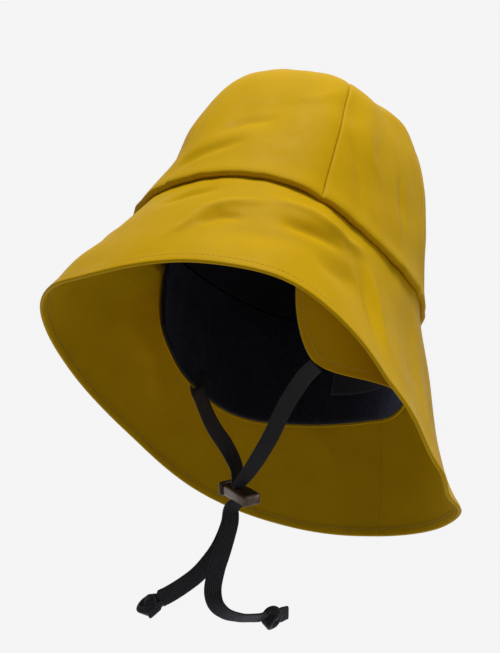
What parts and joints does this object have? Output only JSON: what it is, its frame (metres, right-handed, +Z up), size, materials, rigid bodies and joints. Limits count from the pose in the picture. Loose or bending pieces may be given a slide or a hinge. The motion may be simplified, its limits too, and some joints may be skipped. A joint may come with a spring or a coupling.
{
  "type": "sou'wester hat",
  "caption": "Soft sou'wester hat with a domed crown of sewn gores, a brim long at the back, a fleece ear flap and elastic chin ties with a cord lock.",
  "frame": {"origin": "middle of the head opening, in the plane of the crown's lower edge", "axes": "+Z up as the hat is worn, -Y to the brim's front, +X to the wearer's left"},
  "size_m": [0.2534, 0.2802, 0.3768],
  "materials": {
    "cloth": "ochre yellow coated rain cloth",
    "fleece": "black brushed fleece",
    "lining": "black lining cloth",
    "label": "plain dark woven label",
    "elastic": "black flat woven elastic",
    "lock_shell": "dark bronze brown"
  },
  "bodies": {
    "hat": {"crown_gore_front_left": "cloth", "crown_gore_left": "cloth", "crown_gore_back_left": "cloth", "crown_gore_back_right": "cloth", "crown_gore_right": "cloth", "crown_gore_front_right": "cloth", "brim": "cloth", "flap_shell": "cloth", "flap_fleece": "fleece", "crown_lining": "lining", "label": "label", "tie_left": "elastic", "tie_right": "elastic", "knot_left": "elastic", "knot_right": "elastic", "lock_body": "lock_shell"},
    "lock_button": {"lock_button": "lock_shell"}
  },
  "joints": [
    {"name": "lock_button_press", "type": "slide", "parent": "hat", "child": "lock_button", "axis": [0.922, -0.12, -0.368], "range_m": [0, 0.003], "stiffness_N_per_m": 400, "springref_m": -0.004}
  ]
}
